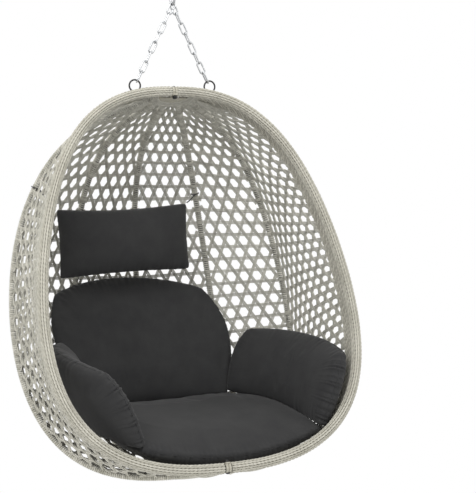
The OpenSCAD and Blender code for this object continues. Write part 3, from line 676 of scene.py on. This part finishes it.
def backPoint(face, u, v, fill):
    q = rounded(u, v, np.where(v < 0, 0.6, 0.3))
    h = back["height"] * (1 + q[1]) / 2
    x = back["shift"] + q[0] * (back["half"] - 0.13 * (back["height"] - h))
    mid = 570 + 0.4 * h - (120 - 0.13 * h) * q[0] ** 2
    full, rim, power = (1, back["rim"], 3.2) if face > 0 else (back["flat"], back["rearRim"], 2.6)
    thick = rim + fill * full * (back["thick"] - rim) * crown(u, v, power)
    return setPlace(x, mid - face * thick,
                    back["low"] + h - back["slope"] * x - back["press"] * np.maximum(0, -v) ** 3)


arm = dict(start=-34, stop=55.8, height=229, thick=46, rim=11, lift=3.92, press=6, lowMid=(95, 210), lowReach=(222, 320),
           highMid=(175, 240), highReach=(240, 342))


def armPoint(hand):
    def place(face, u, v, fill):
        q = rounded(u, v, np.where(v < 0, 0.8, 0.5))
        a = np.radians(arm["start"] + (arm["stop"] - arm["start"]) * (1 + q[0]) / 2)
        k = ((1 + q[1]) / 2)[..., None]
        turnParts = (np.cos(a), np.sin(a))
        lowX, lowY = [mid + reach * part for mid, reach, part in zip(arm["lowMid"], arm["lowReach"], turnParts)]
        low = np.stack([lowX, lowY, seamZ(lowY, 1) + arm["lift"]], -1)
        highX, highY = [mid + reach * part for mid, reach, part in zip(arm["highMid"], arm["highReach"], turnParts)]
        high = np.stack([highX, highY, seamZ(0, 1) + arm["lift"] + arm["height"] + 15 * np.sin(a)], -1)
        out = unit(np.stack([0.95 * np.cos(a), 0.75 * np.sin(a), np.full_like(a, -0.25)], -1))
        thick = arm["rim"] + fill * (arm["thick"] - arm["rim"]) * crown(u, v, 3.2)
        p = low + (high - low) * k - (face * thick)[..., None] * out
        return setPlace(hand * p[..., 0], p[..., 1], p[..., 2] - arm["press"] * np.maximum(0, -v) ** 3)
    return place


def pillowPoint(face, u, v, fill):
    q = rounded(u, v, 0.76)
    x = pillow["width"] / 2 * q[0] * (1.055 - 0.09 * (1 - v * v))
    z = pillow["height"] / 2 * q[1] * (np.where(v > 0, 1.04, 1.12) - np.where(v > 0, 0.17, 0.13) * (1 - u * u))
    y = -face * (9 + fill * (pillow["half"] - 9) * crown(u, v, 2.8))
    x, z = x - 0.05 * z, z + 0.02 * x
    c, s = math.cos(pillowTurn), math.sin(pillowTurn)
    return np.stack([x * c - y * s, x * s + y * c, z], -1) + np.array(pillow["mid"], float) + lowPole


def padPiece(name, point, fill, cuts=40):  # two grids shaped to the pad's faces and bridged at the rim
    pad = bmesh.new()
    for face in (1, -1):
        made = bmesh.ops.create_grid(pad, x_segments=cuts, y_segments=cuts, size=1)["verts"]
        across = np.array([vert.co.x for vert in made])
        up = np.array([vert.co.y for vert in made])
        for vert, co in zip(made, point(face, across, up, fill) * mm):
            vert.co = co
    bmesh.ops.bridge_loops(pad, edges=[e for e in pad.edges if e.is_boundary])
    bmesh.ops.recalc_face_normals(pad, faces=pad.faces)
    mesh = bpy.data.meshes.new(name)
    pad.to_mesh(mesh)
    pad.free()
    piece = bpy.data.objects.new(name, mesh)
    scene.collection.objects.link(piece)
    return piece


def puff(piece, line, cap):  # voxel remesh, inflate as cloth with the seam held, cap the move
    bpy.context.view_layer.objects.active = piece
    remesh = piece.modifiers.new("remesh", "REMESH")
    remesh.mode = "VOXEL"
    remesh.voxel_size = puffing["voxel"] * mm
    bpy.ops.object.select_all(action="DESELECT")
    piece.select_set(True)
    bpy.ops.object.modifier_apply(modifier="remesh")
    start = np.empty(len(piece.data.vertices) * 3)
    piece.data.vertices.foreach_get("co", start)
    start = start.reshape(-1, 3)
    seamTree = KDTree(len(line))
    for i, p in enumerate(line):
        seamTree.insert(p * mm, i)
    seamTree.balance()
    held = piece.vertex_groups.new(name="seam")
    near = cushions["pinned"] * mm
    held.add([v.index for v in piece.data.vertices if seamTree.find(v.co)[2] < near], 1, "REPLACE")
    cloth = piece.modifiers.new("cloth", "CLOTH")
    cloth.settings.vertex_group_mass = "seam"
    cloth.settings.quality = puffing["quality"]
    cloth.settings.mass = puffing["mass"]
    cloth.settings.tension_stiffness = puffing["stretch"]
    cloth.settings.compression_stiffness = puffing["stretch"]
    cloth.settings.bending_stiffness = puffing["bend"]
    cloth.settings.use_pressure = True
    cloth.settings.uniform_pressure_force = puffing["pressure"]
    cloth.settings.effector_weights.gravity = 0
    cloth.point_cache.frame_start = 1
    cloth.point_cache.frame_end = puffing["frames"]
    for f in range(1, puffing["frames"] + 1):
        scene.frame_set(f)
    settled = piece.evaluated_get(bpy.context.evaluated_depsgraph_get())
    end = np.empty(len(start) * 3)
    settled.data.vertices.foreach_get("co", end)
    piece.modifiers.remove(cloth)
    piece.vertex_groups.remove(held)
    move = end.reshape(-1, 3) - start
    far = np.linalg.norm(move, axis=1, keepdims=True)
    start += move * np.minimum(1, cap * mm / np.maximum(far, 1e-9))
    piece.data.vertices.foreach_set("co", start.ravel())
    piece.data.update()
    scene.frame_set(1)


def rimLine(point, count=60):  # the seam's line around the pad
    s = np.linspace(-1, 1, count, endpoint=False)
    one = np.ones(count)
    u = np.concatenate([s, one, -s, -one])
    v = np.concatenate([-one, s, one, -s])
    return (point(1, u, v, 1) + point(-1, u, v, 1)) / 2


def gather(piece, line, depth, waves, fade, puckered):  # pleats run away from the seam, most on the puckered edge
    tree = KDTree(len(line))
    for i, p in enumerate(line):
        tree.insert(p * mm, i)
    tree.balance()
    rng = random.Random(int(depth * 10))
    phases = [rng.uniform(0, 6.28) for _ in range(5)]
    spots = np.empty((len(piece.data.vertices), 3))
    outward = np.empty_like(spots)
    piece.data.vertices.foreach_get("co", spots.ravel())
    piece.data.vertex_normals.foreach_get("vector", outward.ravel())
    found = [tree.find(p)[1:] for p in spots]
    nearest = np.array([i for i, _ in found])
    far = np.array([d for _, d in found]) / mm
    turn = 2 * np.pi * nearest / len(line)
    wave = sum(np.sin(turn * waves * (0.6 + 0.27 * n) + phases[n]) for n in range(5)) / 5
    strength = depth * np.where(4 * nearest // len(line) == puckered, 1, cushions["calm"])
    spots += outward * (strength * wave * np.exp(-far / fade) * np.minimum(1, far / 3) * mm)[:, None]
    piece.data.vertices.foreach_set("co", spots.ravel())
    piece.data.update()


def settle(piece, placed, apart):  # flatten a pad where it rests on the pads placed before it
    spots = np.empty((len(piece.data.vertices), 3))
    piece.data.vertices.foreach_get("co", spots.ravel())
    for tree in placed:
        for i, p in enumerate(spots):
            spot, normal, _, _ = tree.find_nearest(Vector(p), 0.02)
            if spot and (Vector(p) - spot).dot(normal) < apart * mm:
                spots[i] = spot + normal * apart * mm
    piece.data.vertices.foreach_set("co", spots.ravel())
    piece.data.update()


# cap: how far a point may move in the simulation; pleat, waves and fade: height, count and reach of the pleats in mm
pads = [dict(name="seat_pad", solid="seat_cushion", point=seatPoint, body="basket", cap=10, pleat=4.5, waves=95, fade=14,
             puckered=0),
        dict(name="back_pad", solid="back_cushion", point=backPoint, body="basket", cap=9, pleat=4, waves=70, fade=22,
             puckered=2),
        dict(name="arm_pad_left", solid="arm_cushion_left", point=armPoint(-1), body="basket", cap=8, pleat=6, waves=62,
             fade=30, puckered=3),
        dict(name="arm_pad_right", solid="arm_cushion_right", point=armPoint(1), body="basket", cap=8, pleat=6, waves=62,
             fade=30, puckered=3),
        dict(name="head_pad", solid="pillow", point=pillowPoint, body="head_pillow", cap=9, pleat=4, waves=60, fade=18,
             puckered=0)]
placed = []
for cushion in pads:
    pad = padPiece(cushion["name"], cushion["point"], cushions["start"])
    line = rimLine(cushion["point"])
    puff(pad, line, cushion["cap"])
    subdivision = pad.modifiers.new("smooth", "SUBSURF")
    subdivision.levels = subdivision.render_levels = 1
    bpy.context.view_layer.objects.active = pad
    bpy.ops.object.modifier_apply(modifier="smooth")
    gather(pad, rimLine(cushion["point"], 240), cushion["pleat"], cushion["waves"], cushion["fade"], cushion["puckered"])
    settle(pad, placed, cushions["apart"])
    pad.data.polygons.foreach_set("use_smooth", [True] * len(pad.data.polygons))
    setMaterial(pad, charcoalCanvas)
    tree = BVHTree.FromObject(pad, bpy.context.evaluated_depsgraph_get())
    placed.append(tree)
    snapped = []
    for p in line:
        spot, normal, _, _ = tree.find_nearest(Vector(p * mm))
        snapped.append(np.array(spot + normal * 0.2 * mm) / mm)
    snapped = np.array(snapped)
    for _ in range(6):
        snapped = (np.roll(snapped, 1, axis=0) + 2 * snapped + np.roll(snapped, -1, axis=0)) / 4
    seam = tubesFrom(cushion["name"] + "_seam", [(snapped, 0)], cushions["seamRadius"], 6, [seamCord], cyclic=True)
    for piece in (pad, seam):
        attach(piece, cushion["body"])
    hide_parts(cushion["solid"])
print("cushions done")


# studio: pale floor, white surroundings, broad soft lamps
stageSet = dict(floorZ=-2.5, floorRadius=6, shadeRadius=0.3, clearRadius=1.1)
floorMesh = bmesh.new()
bmesh.ops.create_circle(floorMesh, cap_ends=True, segments=96, radius=stageSet["floorRadius"])
mesh = bpy.data.meshes.new("floor")
floorMesh.to_mesh(mesh)
floorMesh.free()
floor = bpy.data.objects.new("floor", mesh)
floor.location = (0, 0.2, stageSet["floorZ"])
scene.collection.objects.link(floor)

floorPaint, tree, shader = newMaterial("whiteMattFloor")  # matt white paint that fades to the surroundings
shader.inputs["Base Color"].default_value = colour("f4f4f4")
shader.inputs["Roughness"].default_value = 0.9
place = addNode(tree, "TexCoord")
distance = addNode(tree, "VectorMath", {"operation": "LENGTH"}, {0: place.outputs["Object"]})
fade = addNode(tree, "MapRange", {"interpolation_type": "SMOOTHSTEP", "From Min": stageSet["shadeRadius"],
                                  "From Max": stageSet["clearRadius"]}, {"Value": distance.outputs["Value"]})
glow = addNode(tree, "Emission", {"Color": (1, 1, 1, 1), "Strength": 1.0})
path = addNode(tree, "LightPath")
seen = addNode(tree, "Math", {"operation": "MULTIPLY"}, {0: path.outputs["Is Camera Ray"], 1: fade.outputs["Result"]})
mixed = addNode(tree, "MixShader", None, {"Fac": seen.outputs[0]})
tree.links.new(shader.outputs["BSDF"], mixed.inputs[1])
tree.links.new(glow.outputs["Emission"], mixed.inputs[2])
tree.links.new(mixed.outputs["Shader"], tree.nodes["Material Output"].inputs["Surface"])
setMaterial(floor, floorPaint)

world = bpy.data.worlds.new("surroundings")
scene.world = world
world.use_nodes = True
tree = world.node_tree
sky = tree.nodes["Background"]
sky.inputs["Color"].default_value = (1, 1, 1, 1)
sky.inputs["Strength"].default_value = 0.6
white = addNode(tree, "Background", {"Color": (1, 1, 1, 1), "Strength": 1.0})
path = addNode(tree, "LightPath")
direct = addNode(tree, "Math", {"operation": "MAXIMUM"},
                 {0: path.outputs["Is Camera Ray"], 1: path.outputs["Is Glossy Ray"]})
shown = addNode(tree, "Math", {"operation": "MAXIMUM"}, {0: direct.outputs[0], 1: path.outputs["Is Transmission Ray"]})
mixed = addNode(tree, "MixShader", None, {"Fac": shown.outputs[0]})
tree.links.new(sky.outputs["Background"], mixed.inputs[1])
tree.links.new(white.outputs["Background"], mixed.inputs[2])
tree.links.new(mixed.outputs["Shader"], tree.nodes["World Output"].inputs["Surface"])


def areaLamp(name, place, aimAt, size, power):
    data = bpy.data.lights.new(name, "AREA")
    data.shape = "SQUARE"
    data.size = size
    data.energy = power
    lamp = bpy.data.objects.new(name, data)
    scene.collection.objects.link(lamp)
    lamp.location = place
    lamp.rotation_euler = (Vector(aimAt) - Vector(place)).to_track_quat("-Z", "Y").to_euler()


areaLamp("lamp_key", (-2.2, -2.6, 1.4), (0, 0, -1.1), 2.0, 70)
areaLamp("lamp_fill", (2.6, -2.4, 0.2), (0, 0, -1.1), 2.2, 25)
areaLamp("lamp_top", (0, 0.2, 2.2), (0, 0, -1.1), 2.2, 28)
areaLamp("lamp_back", (0.6, 3.2, 0.6), (0, 0, -1.0), 2.2, 35)

scene.view_settings.view_transform = "Standard"
print("studio done")
